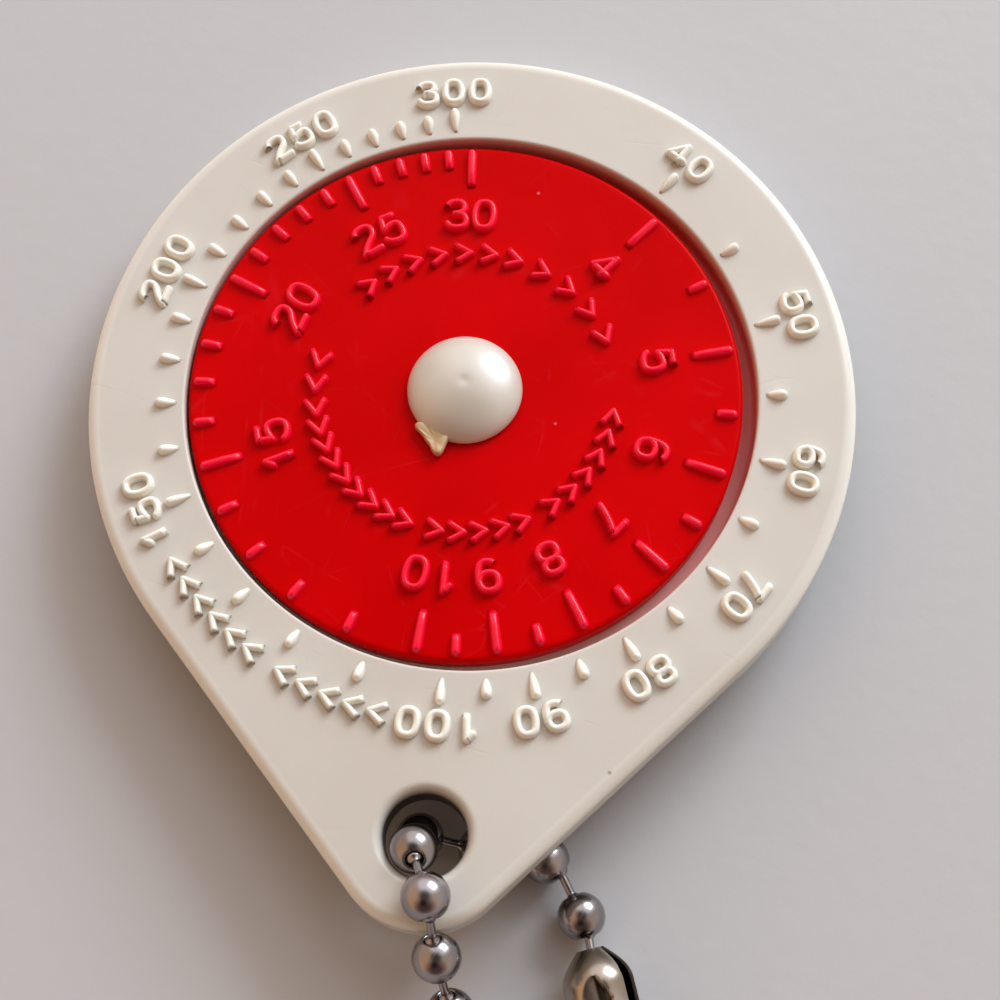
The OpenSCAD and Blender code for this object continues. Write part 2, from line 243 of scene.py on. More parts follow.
def joined(meshes):
    work = bmesh.new()
    for mesh in meshes:
        work.from_mesh(mesh)
    work.to_mesh(meshes[0])
    work.free()
    return meshes[0]


# A shape that a tree places, kept out of sight and removed at the end
helpers = []


def helperObject(name, shape, fixNormals=False):
    helper = bpy.data.objects.new(name, meshOf(name, shape, fixNormals=fixNormals))
    helpers.append(helper)
    return helper


# Shared shader groups. Small dirt specks sit in a few of the cells only.
def buildSpeckGroup():
    sockets = {"Vector": "Vector", "Scale": 1500.0, "Size": 0.12}
    tree, given, out = newTree("mouldSpecks", "ShaderNodeTree", sockets, {"Mask": "Float"})
    edgeHardness = 25.0
    cleanShare = 0.93
    cells = addNode(tree, "ShaderNodeTexVoronoi", {"Vector": given["Vector"], "Scale": given["Scale"]})
    near = calc(tree, "SUBTRACT", given["Size"], cells.outputs["Distance"])
    spot = calc(tree, "MULTIPLY", near, edgeHardness)
    split = addNode(tree, "ShaderNodeSeparateColor", {0: cells.outputs["Color"]})
    chosen = calc(tree, "GREATER_THAN", split.outputs[0], cleanShare)
    clamp = addNode(tree, "ShaderNodeClamp", {0: calc(tree, "MULTIPLY", spot, chosen)})
    tree.links.new(clamp.outputs[0], out["Mask"])
    return tree


def vectorMath(tree, operation, a, b):
    return addNode(tree, "ShaderNodeVectorMath", {0: a, 1: b}, operation=operation).outputs[0]


# Long thin scratches, bent a little and broken up into patches
def buildScratchGroup():
    sockets = {"Vector": "Vector", "Turn": 0.0, "Scale": 260.0, "Width": 0.02}
    tree, given, out = newTree("hairScratches", "ShaderNodeTree", sockets, {"Mask": "Float"})
    swayScale = 90.0
    bend = (0.0035, 0.0035, 0.0)
    stretch = (1.0, 0.16, 0.16)
    patchScale = 520.0
    swayed = vectorMath(tree, "MULTIPLY", noise(tree, given["Vector"], swayScale, 1.0)["Color"], bend)
    moved = vectorMath(tree, "ADD", given["Vector"], swayed)
    turning = {"Vector": moved, "Angle": given["Turn"]}
    turned = addNode(tree, "ShaderNodeVectorRotate", turning, rotation_type="Z_AXIS").outputs[0]
    lengthways = {"Vector": vectorMath(tree, "MULTIPLY", turned, stretch), "Scale": given["Scale"]}
    cells = addNode(tree, "ShaderNodeTexVoronoi", lengthways, feature="DISTANCE_TO_EDGE")
    line = calc(tree, "SUBTRACT", given["Width"], cells.outputs["Distance"])
    line = calc(tree, "DIVIDE", line, given["Width"])
    shown = reach(tree, noise(tree, given["Vector"], patchScale, 2.0)["Fac"], 0.52, 0.66)
    clamp = addNode(tree, "ShaderNodeClamp", {0: calc(tree, "MULTIPLY", line, shown)})
    tree.links.new(clamp.outputs[0], out["Mask"])
    return tree


# How the melt flowed: a broad tone, and a height with a fine grain on it
def buildFlowGroup():
    sockets = {"Vector": "Vector", "Broad": 110.0, "Fine": 1400.0}
    outputs = {"Height": "Float", "Tone": "Float"}
    tree, given, out = newTree("mouldFlow", "ShaderNodeTree", sockets, outputs)
    grain = 0.035
    broad = noise(tree, given["Vector"], given["Broad"], 1.5)["Fac"]
    fine = noise(tree, given["Vector"], given["Fine"], 3.0)["Fac"]
    tree.links.new(calc(tree, "MULTIPLY_ADD", fine, grain, broad), out["Height"])
    tree.links.new(reach(tree, broad, 0.22, 0.78, "SMOOTHSTEP"), out["Tone"])
    return tree


speckGroup = buildSpeckGroup()
scratchGroup = buildScratchGroup()
flowGroup = buildFlowGroup()


# Materials
def groupNode(tree, group, inputs):
    return addNode(tree, "ShaderNodeGroup", inputs, node_tree=group).outputs


def mixColour(tree, factor, a, b):
    return addNode(tree, "ShaderNodeMix", {0: factor, 6: a, 7: b}, data_type="RGBA").outputs[2]


def maskOf(tree, name):
    return addNode(tree, "ShaderNodeAttribute", attribute_name=name).outputs["Fac"]


def newMaterial(name, settings):
    material = bpy.data.materials.new(name)
    material.use_nodes = True
    tree = material.node_tree
    shader = tree.nodes["Principled BSDF"]
    for key, value in settings.items():
        shader.inputs[key].default_value = value
    place = addNode(tree, "ShaderNodeTexCoord").outputs["Object"]
    return material, tree, shader, place


def addBump(tree, shader, strength, distance, height):
    given = {"Strength": strength, "Distance": distance, "Height": height}
    tree.links.new(addNode(tree, "ShaderNodeBump", given).outputs[0], shader.inputs["Normal"])


def buildMaterial(name, look):
    material, tree, shader, place = newMaterial(name, look["shader"])
    flow = groupNode(tree, flowGroup, {"Vector": place, "Broad": look["broad"], "Fine": look["fine"]})
    scratches = 0.0
    for turn in look["scratchTurns"]:
        given = {"Vector": place, "Turn": turn, "Scale": look["scratchScale"], "Width": look["scratchWidth"]}
        scratches = calc(tree, "MAXIMUM", groupNode(tree, scratchGroup, given)["Mask"], scratches)
    layers = [(maskOf(tree, mask), amount, shade) for mask, amount, shade in look["layers"]]
    height = flow["Height"]
    # only plastic has specks, and scratches that have a colour and cut into it
    if "speck" in look:
        given = {"Vector": place, "Scale": look["speckScale"], "Size": look["speckSize"]}
        specks = groupNode(tree, speckGroup, given)["Mask"]
        layers += [(specks, look["speckAmount"], look["speck"])]
        layers += [(scratches, look["scratchAmount"], look["scratch"])]
        height = calc(tree, "MULTIPLY_ADD", scratches, -look["scratchDepth"], height)
    # crests under the painted highlight get a shiny coat as well
    if look["crestCoat"]:
        coat = calc(tree, "MULTIPLY", maskOf(tree, "crestHighlight"), look["crestCoat"])
        tree.links.new(coat, shader.inputs["Coat Weight"])
    colour = mixColour(tree, flow["Tone"], look["dark"], look["light"])
    for mask, amount, shade in layers:
        colour = mixColour(tree, calc(tree, "MULTIPLY", mask, amount), colour, shade)
    tree.links.new(colour, shader.inputs["Base Color"])
    rough = calc(tree, "MULTIPLY_ADD", flow["Tone"], look["roughSpread"], look["rough"])
    rough = calc(tree, "MULTIPLY_ADD", scratches, look["scratchRough"], rough)
    tree.links.new(rough, shader.inputs["Roughness"])
    addBump(tree, shader, look["bump"], look["bumpDistance"], height)
    return material


# Each layer is a mask on the mesh, how much it shows, and its colour
ivoryLook = {
    "shader": {
        "Specular IOR Level": 0.5,
        "Subsurface Weight": 0.12,
        "Subsurface Scale": 0.0006,
        "Coat Roughness": 0.3,
    },
    "dark": (0.610, 0.560, 0.494, 1),
    "light": (0.650, 0.608, 0.552, 1),
    "layers": [
        # dirt and painted shade at the marks' feet
        ("dirtAndShade", 0.6, (0.56, 0.42, 0.25, 1)),
        # painted highlight on the marks' crests and the body's edges
        ("crestHighlight", 1.0, (0.95, 0.92, 0.82, 1)),
        # painted red reflection of the dial, and shade, on the well's wall
        ("gap", 1.0, (0.80, 0.09, 0.08, 1)),
        # painted shade in the chain hole
        ("paintedHoleShade", 0.95, (0.03, 0.02, 0.016, 1)),
    ],
    "crestCoat": 0.5,
    "broad": 115.0,
    "fine": 1500.0,
    "rough": 0.33,
    "roughSpread": 0.08,
    "speckScale": 520.0,
    "speckSize": 0.07,
    "speckAmount": 0.7,
    "speck": (0.18, 0.13, 0.09, 1),
    "scratchTurns": (0.5, 1.9),
    "scratchScale": 240.0,
    "scratchWidth": 0.012,
    "scratchAmount": 0.10,
    "scratchRough": 0.10,
    "scratchDepth": 0.06,
    "scratch": (0.50, 0.43, 0.34, 1),
    "bump": 0.5,
    "bumpDistance": 0.00016,
}
# What the other plastics don't give stays as on the ivory one
redLook = ivoryLook | {
    "shader": {"Specular IOR Level": 0.03, "Subsurface Weight": 0.0, "Coat Roughness": 0.25},
    "dark": (0.540, 0.0, 0.0004, 1),
    "light": (0.620, 0.0, 0.001, 1),
    # painted shade at the marks' feet and a painted highlight on their crests
    "layers": [("dirtAndShade", 0.1, (0.12, 0.0, 0.0, 1)), ("crestHighlight", 1.0, (0.95, 0.004, 0.035, 1))],
    "crestCoat": 0.6,
    "broad": 150.0,
    "fine": 1300.0,
    "rough": 0.24,
    "speckScale": 700.0,
    "speckSize": 0.08,
    "speckAmount": 0.55,
    "speck": (0.85, 0.18, 0.22, 1),
    "scratchTurns": (0.2, 1.3, 2.4),
    "scratchScale": 300.0,
    "scratchWidth": 0.010,
    "scratchAmount": 0.05,
    "scratchDepth": 0.03,
    "scratch": (0.80, 0.08, 0.12, 1),
    "bump": 0.45,
    "bumpDistance": 0.00012,
}
whiteLook = ivoryLook | {
    "shader": {
        "Specular IOR Level": 0.6,
        "Subsurface Weight": 0.2,
        "Subsurface Scale": 0.0008,
        "Coat Weight": 1.0,
        "Coat Roughness": 0.34,
        "Coat IOR": 1.7,
    },
    "dark": (0.565, 0.498, 0.415, 1),
    "light": (0.650, 0.595, 0.525, 1),
    # painted shade at the foot of the rivet's head
    "layers": [("dirtAndShade", 1.0, (0.56, 0.33, 0.14, 1))],
    "crestCoat": 0.0,
    "broad": 330.0,
    "fine": 1800.0,
    "rough": 0.38,
    "roughSpread": 0.06,
    "speckScale": 1600.0,
    "speckSize": 0.06,
    "speckAmount": 0.4,
    "speck": (0.40, 0.33, 0.25, 1),
    "scratchTurns": (0.9,),
    "scratchScale": 500.0,
    "scratchAmount": 0.12,
    "scratchDepth": 0.1,
    "scratch": (0.62, 0.56, 0.48, 1),
    "bump": 0.4,
    "bumpDistance": 0.0001,
}
# The torn nub of the rivet's gate has yellowed
gateLook = whiteLook | {
    "shader": whiteLook["shader"] | {"Coat Weight": 0.1},
    "dark": (0.52, 0.33, 0.16, 1),
    "light": (0.72, 0.54, 0.36, 1),
    # darker towards the hollow of its torn top
    "layers": [("dirtAndShade", 0.55, (0.42, 0.22, 0.07, 1))],
    "broad": 900.0,
    "rough": 0.5,
}
beadLook = {
    "shader": {"Metallic": 1.0, "Specular IOR Level": 0.5},
    "crestCoat": 0.0,
    "dark": (0.262, 0.235, 0.235, 1),
    "light": (0.385, 0.355, 0.365, 1),
    "broad": 420.0,
    "fine": 2600.0,
    "rough": 0.165,
    "roughSpread": 0.1,
    "scratchScale": 900.0,
    "scratchWidth": 0.03,
    "scratchRough": 0.15,
    "scratchTurns": (0.7,),
    # darker at the bead's mouths and inside
    "layers": [("dirtAndShade", 0.8, (0.05, 0.035, 0.025, 1))],
    "bump": 0.35,
    "bumpDistance": 0.00005,
}
sleeveLook = beadLook | {
    "dark": (0.30, 0.245, 0.185, 1),
    "light": (0.46, 0.41, 0.37, 1),
    "broad": 300.0,
    "fine": 2200.0,
    "rough": 0.2,
    "roughSpread": 0.12,
    "scratchScale": 800.0,
    # painted shade inside the sleeve and in its darts
    "layers": [("dirtAndShade", 0.8, (0.04, 0.03, 0.02, 1))],
    "bump": 0.4,
}
ivoryPlastic = buildMaterial("ivoryPlastic", ivoryLook)
redPlastic = buildMaterial("redPlastic", redLook)
whitePlastic = buildMaterial("whitePlastic", whiteLook)
gatePlastic = buildMaterial("gatePlastic", gateLook)
nickelBeads = buildMaterial("nickelBeads", beadLook)
nickelSleeve = buildMaterial("nickelSleeve", sleeveLook)
print("materials ready")

# Body, slot and material of what is moulded with the body and with the dial
onBody = ("root", "ivory_plastic", ivoryPlastic)
onDial = ("dial", "red_plastic", redPlastic)

# Body
bodyShape = {
    "roundRadius": 20.0,
    "tipRadius": 4.5,
    "holeReach": 23.0,
    "holeTurn": 8.5,
    "faceRound": 0.6,
    "backRound": 0.35,
    "wellRadius": 14.9,
    "lipRound": 0.14,
    "floorFillet": 0.25,
    "labelRadius": 16.5,
    "holeRadius": 2.04,
    "funnelWidth": 0.5,
    "funnelDepth": 0.75,
    "backFunnel": 0.35,
    "shankRadius": 1.52,
    "stakeRadius": 2.12,
    "windowWidth": 3.4,
    "windowNear": 6.7,
    "windowFar": 11.3,
    "windowCorner": 0.25,
    # the dial's painted red reflection and shade on the well's wall: where it is strongest, and its mean and swing
    "redTurn": 0.7,
    "redMean": 0.48,
    "redSwing": 0.52,
    # painted highlight on the side, and how much more on the rounded edge
    "sideHighlight": 0.15,
    "roundedEdgeHighlight": 0.6,
    "arcPoints": 230,
    "tipPoints": 64,
    "sidePoints": 14,
}


# The outline of the two circles' hull, drawn in by an inset
def bodyOutline(shape, inset, z):
    away = math.radians(-90 - shape["holeTurn"])
    tip = Vector((math.cos(away), math.sin(away))) * shape["holeReach"]
    spread = math.acos((shape["roundRadius"] - shape["tipRadius"]) / shape["holeReach"])
    roundTurns = np.linspace(away + spread, away + 2 * math.pi - spread, shape["arcPoints"])
    tipTurns = np.linspace(away - spread, away + spread, shape["tipPoints"])
    big = shape["roundRadius"] - inset
    small = shape["tipRadius"] - inset
    roundArc = [Vector((math.cos(t), math.sin(t))) * big for t in roundTurns]
    tipArc = [tip + Vector((math.cos(t), math.sin(t))) * small for t in tipTurns]
    shares = np.linspace(0, 1, shape["sidePoints"] + 2)[1:-1]
    intoTip = [roundArc[-1].lerp(tipArc[0], s) for s in shares]
    outOfTip = [tipArc[-1].lerp(roundArc[0], s) for s in shares]
    return [(p.x, p.y, z) for p in roundArc + intoTip + tipArc + outOfTip]


def buildBody(shape, z):
    away = math.radians(-90 - shape["holeTurn"])
    tip = (shape["holeReach"] * math.cos(away), shape["holeReach"] * math.sin(away))
    face = z["face"]
    back = z["backRim"]
    soft = shape["faceRound"]
    backSoft = shape["backRound"]
    shell = emptyShape()
    # inset and height from the back's flat rim, round the edge, to the face
    section = [(backSoft + 0.15, back)]
    section += arc((backSoft, back + backSoft), backSoft, -90, -180, 5)
    section += [(0.0, back + backSoft + 0.15), (0.0, face - soft - 0.15)]
    section += arc((soft, face - soft), soft, 180, 90, 9)
    section += [(soft + 0.15, face)]
    rings = [addRing(shell, bodyOutline(shape, inset, height)) for inset, height in section]
    bridgeAll(shell, rings)
    # painted highlight at each point, from the back's rim up to where the rounded edge meets the face
    paintedEdgeLight = {}
    for ring, (inset, height) in zip(rings, section):
        rise = clamped((height - face + soft) / soft)
        if inset < soft + 0.01:
            share = shape["sideHighlight"] + shape["roundedEdgeHighlight"] * math.sin(math.pi * rise)
            paintedEdgeLight.update({tuple(round(c, 3) for c in shell["points"][i]): share for i in ring})

    lip = shape["lipRound"]
    fillet = shape["floorFillet"]
    wall = shape["wellRadius"]
    floor = z["wellFloor"]
    well = [(wall + lip + 0.1, face)]
    well += arc((wall + lip, face - lip), lip, 90, 180, 5)
    well += [(wall, face - lip - 0.1), (wall, floor + fillet + 0.08)]
    well += arc((wall - fillet, floor + fillet), fillet, 0, -90, 5)
    well += [(wall - fillet - 0.1, floor)]
    wellTop, wellFloor = addLathe(shell, well, 256)

    # the chain hole has a soft funnel on the face and a small one on the back
    hole = shape["holeRadius"]
    depth = shape["funnelDepth"]
    mouth = hole + shape["funnelWidth"]
    small = shape["backFunnel"]
    funnel = [(mouth + 0.12, face)]
    funnel += arc((mouth, face - depth), shape["funnelWidth"], 90, 180, 8, depth)
    funnel += [(hole, back + small + 0.1)]
    funnel += arc((hole + small, back + small), small, 180, 270, 4)
    funnel += [(hole + small + 0.1, back)]
    holeTop, holeBack = addLathe(shell, funnel, 96, tip)

    label = shape["labelRadius"]
    recess = [(label + 0.1, back), (label, back + 0.03), (label - 0.02, 0.0), (label - 0.14, 0.0)]
    labelRim, labelFloor = addLathe(shell, recess, 256)

    # the stepped bore for the rivet and the answer window stand about the pivot
    centre = (pivot.x, pivot.y)
    stake = shape["stakeRadius"]
    shank = shape["shankRadius"]
    counterbore = [(stake + 0.05, 0.0), (stake, 0.05), (stake, z["stakeShelf"])]
    stakeEdge, shelfRim = addLathe(shell, counterbore, 64, centre)
    bore = [(shank, z["stakeShelf"]), (shank, floor - 0.04), (shank + 0.04, floor)]
    shelfEdge, boreTop = addLathe(shell, bore, 64, centre)
    bridge(shell, shelfRim, shelfEdge)
    corner = shape["windowCorner"]
    half = shape["windowWidth"] / 2 - corner
    near = centre[1] - shape["windowNear"] - corner
    far = centre[1] - shape["windowFar"] + corner

    def windowRing(wider, height):
        points = []
        for side, y, start in ((half, near, 0), (-half, near, 90), (-half, far, 180), (half, far, 270)):
            points += arc((centre[0] + side, y), corner + wider, start, start + 90, 4)
        return addRing(shell, [(x, y, height) for x, y in points])

    levels = [(0.1, 0.0), (0.0, 0.1), (0.0, floor - 0.05), (0.05, floor)]
    windowRings = [windowRing(wider, height) for wider, height in levels]
    bridgeAll(shell, windowRings)

    fillFlat(shell, [rings[-1], wellTop, holeTop])
    fillFlat(shell, [wellFloor, boreTop, windowRings[-1]])
    fillFlat(shell, [rings[0], labelRim, holeBack])
    fillFlat(shell, [labelFloor, stakeEdge, windowRings[0]])
    mesh = meshOf("bodyShell", shell, sharp=35)

    # painted red reflection and shade on the well's wall, painted shade in the hole and painted highlight
    # on the edges. The first two start just under the face and are full half a millimetre further down.
    masks = {"gap": [], "paintedHoleShade": [], "crestHighlight": []}
    for vertex in mesh.vertices:
        x, y, height = vertex.co
        inWell = wall - 2 < math.hypot(x, y) < wall + 0.05 and height > floor - 0.1
        red = shape["redMean"] + shape["redSwing"] * math.cos(math.atan2(y, x) - shape["redTurn"])
        masks["gap"].append(clamped((face - 0.1 - height) / 0.5) * max(0.0, red) if inWell else 0.0)
        inHole = math.hypot(x - tip[0], y - tip[1]) < mouth and height < face - 0.02
        masks["paintedHoleShade"].append(clamped((face - 0.2 - height) / 0.5) if inHole else 0.0)
        masks["crestHighlight"].append(paintedEdgeLight.get(tuple(round(c, 3) for c in vertex.co), 0.0))
    for name, values in masks.items():
        addMask(mesh, name, values)
    mesh.transform(bodyPlace)
    return mesh


addPiece("bodyShell", buildBody(bodyShape, heights), *onBody, replaces=["body"])
print("body ready")

# Raised marks. Each stroke of a digit is the control polygon of a smooth curve on a cell 2 wide
# and 3 high. The strokes of loopDigits are closed.
loopDigits = (0, 8)
glyphs = {
    0: [[(0.25, 0), (1.75, 0), (2.1, 1.5), (1.75, 3), (0.25, 3), (-0.1, 1.5)]],
    1: [[(1.05, 0), (1.05, 3)], [(1.05, 3), (0.45, 2.35)]],
    2: [[(0.05, 2.25), (0.05, 3), (1.95, 3), (2.1, 1.75), (0.6, 0.9), (0, 0)], [(0, 0), (2, 0)]],
    3: [
        [(0.1, 2.5), (0.3, 3), (1.95, 3), (1.95, 1.6), (0.85, 1.6)],
        [(0.85, 1.6), (2.05, 1.6), (2.05, 0), (0.2, 0), (0, 0.55)],
    ],
    4: [[(1.45, 0), (1.45, 3)], [(1.45, 3), (0, 0.9)], [(0, 0.9), (2, 0.9)]],
    5: [
        [(1.8, 3), (0.3, 3)],
        [(0.3, 3), (0.15, 1.6)],
        [(0.15, 1.6), (0.5, 1.9), (2, 2.1), (2.05, 0), (0.3, 0), (0, 0.5)],
    ],
    6: [[(1.7, 2.7), (1.4, 3.1), (0, 2.9), (0, 0), (2, 0), (2, 1.85), (0.1, 1.85), (0, 0.95)]],
    7: [[(0, 3), (2, 3)], [(2, 3), (1.1, 1.7), (0.7, 0)]],
    8: [[(0.1, 1.6), (1.9, 1.6), (1.9, 3), (0.1, 3)], [(0, 0), (2, 0), (2, 1.65), (0, 1.65)]],
    9: [[(0.3, 0.3), (0.6, -0.1), (2, 0.1), (2, 3), (0, 3), (0, 1.15), (1.9, 1.15), (2, 2.05)]],
}
ridge = {
    "height": 0.44,
    "sink": 0.03,
    "profile": [(1.45, 0.0), (1.2, 0.10), (1.04, 0.32), (0.91, 0.60), (0.74, 0.82), (0.46, 0.95), (0.0, 1.0)],
    "capSteps": 5,
}


def smoothPath(points, closed, steps=6):
    points = [Vector(p) for p in points]
    path = []
    count = len(points)
    if count == 2:
        return [points[0].lerp(points[1], i / 4) for i in range(5)]
    turns = range(count) if closed else range(1, count - 1)
    for i in turns:
        before = points[i - 1]
        after = points[(i + 1) % count]
        start = before if not closed and i == 1 else (before + points[i]) / 2
        end = after if not closed and i == count - 2 else (points[i] + after) / 2
        for s in range(steps):
            t = s / steps
            path.append((1 - t) ** 2 * start + 2 * t * (1 - t) * points[i] + t * t * end)
    if not closed:
        path.append(points[-1])
    return path


# A rounded ridge along a path, with round ends. grades gives the width and height at each point.
def addRidge(shape, path, closed, width, height, grades=None):
    half = width / 2
    sink = ridge["sink"]
    outline = [(o * half, -sink + (height + sink) * h) for o, h in ridge["profile"]]
    across = [(-o, h) for o, h in outline] + [(o, h) for o, h in reversed(outline[:-1])]
    count = len(path)
    grades = grades or [(1, 1)] * count
    rings = []

    def directionAt(i):
        if closed:
            return (path[(i + 1) % count] - path[i - 1]).normalized()
        return (path[min(i + 1, count - 1)] - path[max(i - 1, 0)]).normalized()

    def addStation(i, tilt):
        along = directionAt(i)
        ring = []
        for o, h in across:
            side = Vector((along.y, -along.x))
            if tilt and o:
                side = Matrix.Rotation(math.copysign(tilt, o), 2) @ side
            place = path[i] + side * o * grades[i][0]
            ring.append((place.x, place.y, -sink + (h + sink) * grades[i][1]))
        rings.append(addRing(shape, ring))

    tilts = [] if closed else [math.pi / 2 * s / ridge["capSteps"] for s in range(1, ridge["capSteps"] + 1)]
    for tilt in reversed(tilts):
        addStation(0, -tilt)
    for i in range(count):
        addStation(i, 0)
    for tilt in tilts:
        addStation(count - 1, tilt)
    bridgeAll(shape, rings + rings[:1] if closed else rings, closed=False)
    return shape


# Marks get dirt and painted shade round their feet and a painted highlight from halfway up.
# They are put in place last.
def finishMarks(mesh, look, place):
    shares = [clamped((v.co.z - look["z"] + ridge["sink"]) / ridge["height"]) for v in mesh.vertices]
    addMask(mesh, "dirtAndShade", [(1 - share) ** 2 for share in shares])
    addMask(mesh, "crestHighlight", [look["crestHighlight"] * min(1.0, 1.8 * share) for share in shares])
    mesh.transform(place)
    return mesh


def digitShape(digit, look):
    shape = emptyShape()
    closed = digit in loopDigits
    for points in glyphs[digit]:
        path = smoothPath(points, closed)
        path = [Vector(((p.x - 1) * look["width"] / 2, (p.y / 3 - 0.5) * look["height"])) for p in path]
        addRidge(shape, path, closed, look["stroke"], ridge["height"])
    return shape


# Copies a drawn shape to a place on a ring, at an angle clockwise from the top
def addOnRing(target, source, radius, turn, z):
    place = Matrix.Rotation(-turn, 4, "Z") @ Matrix.Translation((0, radius, z))
    first = len(target["points"])
    target["points"] += [tuple(place @ Vector(p)) for p in source["points"]]
    target["faces"] += [tuple(i + first for i in face) for face in source["faces"]]


def logTurn(value, atTop):
    return 2 * math.pi * math.log10(value / atTop)


def buildNumbers(name, look, place):
    target = emptyShape()
    drawn = {}
    advance = math.asin(look["pitch"] / look["ring"])
    for value in look["numbers"]:
        text = str(value * look["times"])
        for i, letter in enumerate(text):
            if letter not in drawn:
                drawn[letter] = digitShape(int(letter), look)
            turn = logTurn(value, look["atTop"]) + (i - (len(text) - 1) / 2) * advance
            addOnRing(target, drawn[letter], look["ring"], turn, look["z"])
    return finishMarks(meshOf(name, target, fixNormals=False), look, place)


# A grain-shaped tick, from its inner to its outer end. It is narrow and low at the inner end, more
# so with more taper, and slightly narrower at a pointed outer end.
def tickShape(length, width, height, taper, flatEnd):
    count = 9
    half = width / 2
    path = [Vector((0, half + (length - width) * i / (count - 1))) for i in range(count)]
    grades = []
    for i in range(count):
        share = i / (count - 1)
        swell = 1 - taper * (1 - share) ** 1.6 - 0.12 * share**6 * (1 - flatEnd)
        drop = max(min(0.9, taper * 1.3) * (1 - share) ** 1.7, 0.7 * (1 - share) ** 5)
        grades.append((swell, 1 - drop))
    return addRidge(emptyShape(), path, False, width, height, grades)


# Points on a ring at a turn clockwise from the top, and the rotation of the marks on them
def placeOnRing(tree, given, turn, own=0.0):
    points = addNode(tree, "GeometryNodePoints", {"Count": given["Count"]}).outputs[0]
    x = calc(tree, "MULTIPLY", calc(tree, "SINE", turn), given["Ring Radius"])
    y = calc(tree, "MULTIPLY", calc(tree, "COSINE", turn), given["Ring Radius"])
    spot = addNode(tree, "ShaderNodeCombineXYZ", {0: x, 1: y, 2: given["Height"]}).outputs[0]
    placed = addNode(tree, "GeometryNodeSetPosition", {"Geometry": points, "Position": spot}).outputs[0]
    facing = addNode(tree, "ShaderNodeCombineXYZ", {2: calc(tree, "SUBTRACT", own, turn)}).outputs[0]
    rotation = addNode(tree, "FunctionNodeEulerToRotation", {0: facing}).outputs[0]
    return {"Points": placed, "Rotation": rotation}


# Ticks at even steps of value on a log scale, either its long or its short ones
def buildTickTree():
    inputs = {
        "First Value": 4.0,
        "Value Step": 0.5,
        "Count": 13,
        "Value At Top": 30.0,
        "Long Every": 1.0,
        "Wants Long": 1.0,
        "Ring Radius": 15.15,
        "Height": 2.6,
    }
    tree, given, out = newGrowTree("logTicks", inputs)
    index = addNode(tree, "GeometryNodeInputIndex").outputs[0]
    value = calc(tree, "MULTIPLY_ADD", index, given["Value Step"], given["First Value"])
    ratio = calc(tree, "DIVIDE", value, given["Value At Top"])
    turn = calc(tree, "MULTIPLY", calc(tree, "LOGARITHM", ratio, 10.0), 2 * math.pi)
    # a small lift keeps a value from falling just short of its long tick
    rest = calc(tree, "FLOORED_MODULO", calc(tree, "ADD", value, 0.01), given["Long Every"])
    isLong = calc(tree, "LESS_THAN", rest, 0.05)
    placing = placeOnRing(tree, given, turn)
    placing["Selection"] = calc(tree, "COMPARE", isLong, given["Wants Long"], 0.5)
    return endTree(tree, given, out, placing)


tickTree = buildTickTree()


def growTicks(name, look, place, material):
    meshes = []
    for kind in ("long", "short"):
        ring, *size = look[kind]
        tick = helperObject(name + kind, tickShape(*size))
        for first, step, count, longEvery in look["runs"]:
            values = {
                "First Value": first,
                "Value Step": step,
                "Count": count,
                "Value At Top": float(look["atTop"]),
                "Long Every": longEvery,
                "Wants Long": 1.0 if kind == "long" else 0.0,
                "Ring Radius": ring,
                "Height": look["z"],
                "Shape": tick,
                "Material": material,
            }
            meshes.append(grow(tickTree, values))
    return finishMarks(joined(meshes), look, place)


def addScale(name, look, place, carrier):
    addPiece(name + "Numbers", buildNumbers(name + "Numbers", look, place), *carrier)
    addPiece(name + "Ticks", growTicks(name + "Ticks", look, place, carrier[2]), *carrier)


# In a scale, runs are the ticks' first value, step, count and how often a long one comes. long and
# short are a tick's ring, length, width, height, taper and how blunt its outer end is.
milesScale = {
    "z": heights["face"],
    "crestHighlight": 0.85,
    "numbers": (4, 5, 6, 7, 8, 9, 10, 15, 20, 25, 30),
    "times": 10,
    "atTop": 30,
    "ring": 17.74,
    "width": 0.9,
    "height": 1.27,
    "stroke": 0.37,
    "pitch": 1.46,
    "runs": [(4.0, 0.5, 13, 1.0), (11.0, 1.0, 20, 5.0)],
    "long": (15.04, 1.68, 0.5, 0.45, 0.68, 0.0),
    "short": (15.04, 1.38, 0.54, 0.45, 0.68, 0.0),
}
gallonsScale = milesScale | {
    "z": heights["dialTop"],
    "crestHighlight": 1.0,
    "times": 1,
    "ring": 10.2,
    "width": 1.0,
    "height": 1.55,
    "stroke": 0.38,
    "pitch": 1.5,
    "long": (11.7, 2.5, 0.48, 0.38, 0.12, 1.0),
    "short": (12.8, 1.4, 0.48, 0.38, 0.12, 1.0),
}

# Rows of plain chevrons. A row is its ring, first and last turn in degrees, count and own turn.
chevronLook = {"spread": 0.42, "rise": 0.52, "stroke": 0.34, "height": 0.396}
bodyRows = {
    "z": heights["face"],
    "crestHighlight": 0.85,
    "rows": [(17.6, -162, -145.5, 5, 0), (17.6, -139, -119.5, 6, 0)],
}
dialRows = {
    "z": heights["dialTop"],
    "crestHighlight": 1.0,
    "rows": [
        (7.9, -42, 17.5, 7, 0),
        (7.9, 29.5, 66, 4, 0),
        (7.8, -78, -98, 3, 180),
        (7.8, -106, -158, 8, 180),
        (7.8, -170, -203, 5, 180),
        (7.8, -216, -259, 6, 180),
    ],
}


def chevronShape(look):
    shape = emptyShape()
    tip = Vector((look["spread"], 0))
    for side in (1, -1):
        tail = Vector((-look["spread"], side * look["rise"]))
        path = [tail.lerp(tip, i / 4) for i in range(5)]
        addRidge(shape, path, False, look["stroke"], look["height"])
    return shape


